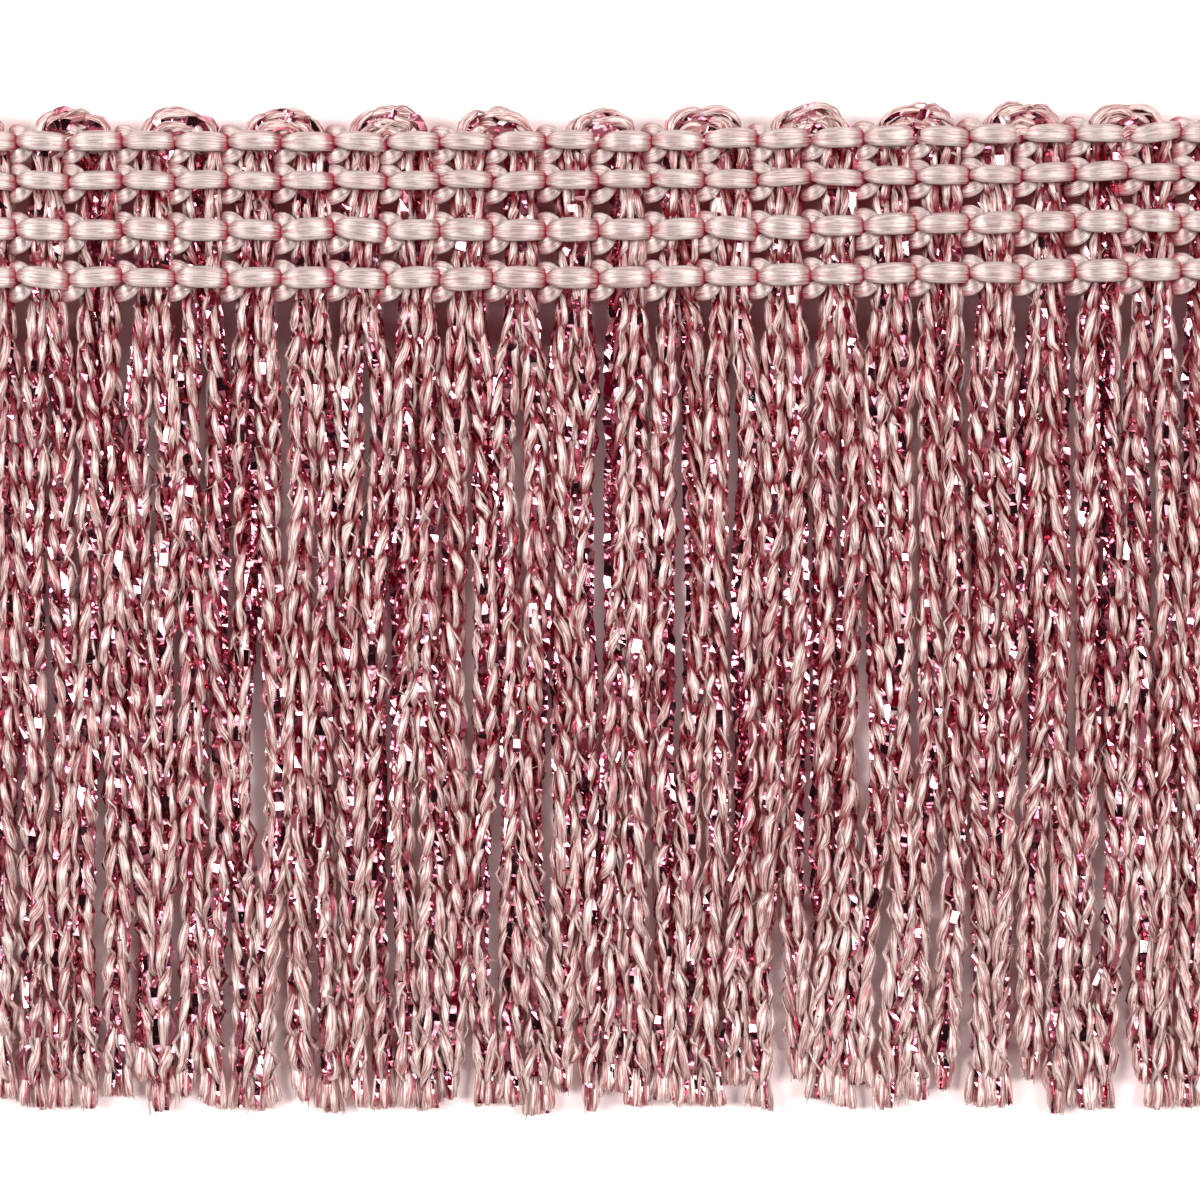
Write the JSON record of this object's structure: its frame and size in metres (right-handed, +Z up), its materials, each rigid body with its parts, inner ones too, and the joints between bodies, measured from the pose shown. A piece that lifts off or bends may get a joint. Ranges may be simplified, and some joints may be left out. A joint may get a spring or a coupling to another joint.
{
  "type": "chainette fringe trim",
  "caption": "Flat length of metallic chainette cord fringe with a picot top edge and a chain-stitched heading, to be sewn or glued along an edge.",
  "frame": {"origin": "centre of the trim's outline on the surface it lies on", "axes": "+X along the trim, +Y from the cut ends towards the picot edge, +Z up out of the face"},
  "size_m": [0.0706, 0.0508, 0.0029],
  "materials": {
    "metallic_chainette": "pale pink satin yarn chained with a flat crimson-pink metallic film",
    "satin_chain_yarn": "pale pink multifilament satin, deeper pink where the stitches meet"
  },
  "bodies": {
    "root": {"fringe_comb": "metallic_chainette", "chain_row_1": "satin_chain_yarn", "chain_row_2": "satin_chain_yarn", "chain_row_3": "satin_chain_yarn", "chain_row_4": "satin_chain_yarn"}
  },
  "joints": []
}
